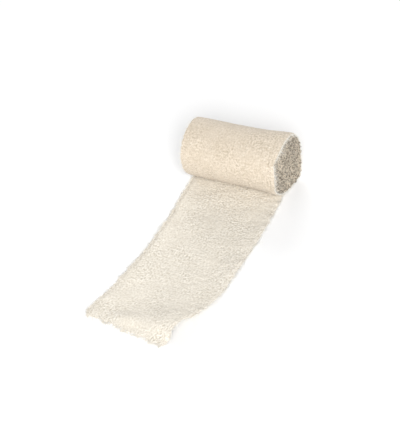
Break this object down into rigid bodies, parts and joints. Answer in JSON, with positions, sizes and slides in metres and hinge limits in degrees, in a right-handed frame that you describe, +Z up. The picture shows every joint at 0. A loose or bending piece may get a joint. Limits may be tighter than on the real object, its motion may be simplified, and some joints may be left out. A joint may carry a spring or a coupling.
{
  "type": "crepe bandage roll",
  "caption": "Woven cotton crepe strip wound into a roll on its side, with its loose end drawn out flat and one corner of the end turned over.",
  "frame": {"origin": "on the surface the roll lies on, under the middle of the roll's axis", "axes": "+X along the roll's axis, -Y along the loose end as it leaves the roll, +Z up"},
  "size_m": [0.0855, 0.1856, 0.0439],
  "materials": {
    "cotton_crepe": "matt undyed cotton crepe weave, finely crinkled"
  },
  "bodies": {
    "root": {"bandage": "cotton_crepe"}
  },
  "joints": []
}
